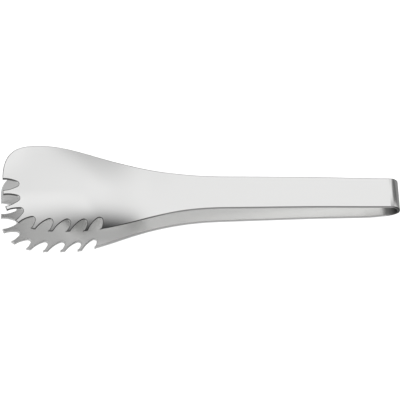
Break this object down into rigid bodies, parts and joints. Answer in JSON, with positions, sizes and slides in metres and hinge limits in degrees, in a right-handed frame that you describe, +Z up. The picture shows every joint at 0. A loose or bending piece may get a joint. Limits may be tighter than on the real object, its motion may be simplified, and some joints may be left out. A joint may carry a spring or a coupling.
{
  "type": "spaghetti tongs",
  "caption": "One-piece sprung steel tongs: a folded strip with long flat grips and two wide shallow scoops, toothed along the front edge and round the tip.",
  "frame": {"origin": "on the ground under the middle of the tongs' box, lying on the bow and on the back of the lower scoop", "axes": "+X from the scoops to the bow, +Y from the toothed edge to the plain edge, +Z up, with the upper arm above the lower one"},
  "size_m": [0.2406, 0.0542, 0.0376],
  "materials": {
    "spring_bow": "satin stainless steel",
    "upper_arm": "satin stainless steel",
    "lower_arm": "satin stainless steel"
  },
  "bodies": {
    "bow": {"spring_bow": "spring_bow"},
    "upper": {"upper_arm": "upper_arm"},
    "lower": {"lower_arm": "lower_arm"}
  },
  "joints": [
    {"name": "upper_flex", "type": "hinge", "parent": "bow", "child": "upper", "pos_m": [0.11339, -0.00145, 0.01393], "axis": [0, -1, 0], "range_deg": [0, 3.3], "stiffness_Nm_per_rad": 25.6},
    {"name": "lower_flex", "type": "hinge", "parent": "bow", "child": "lower", "pos_m": [0.11266, -0.00145, 0.00085], "axis": [0, 1, 0], "range_deg": [0, 3.3], "stiffness_Nm_per_rad": 25.6}
  ],
  "couplings": [
    {"joint": "lower_flex", "follows": "upper_flex", "ratio": 1}
  ]
}
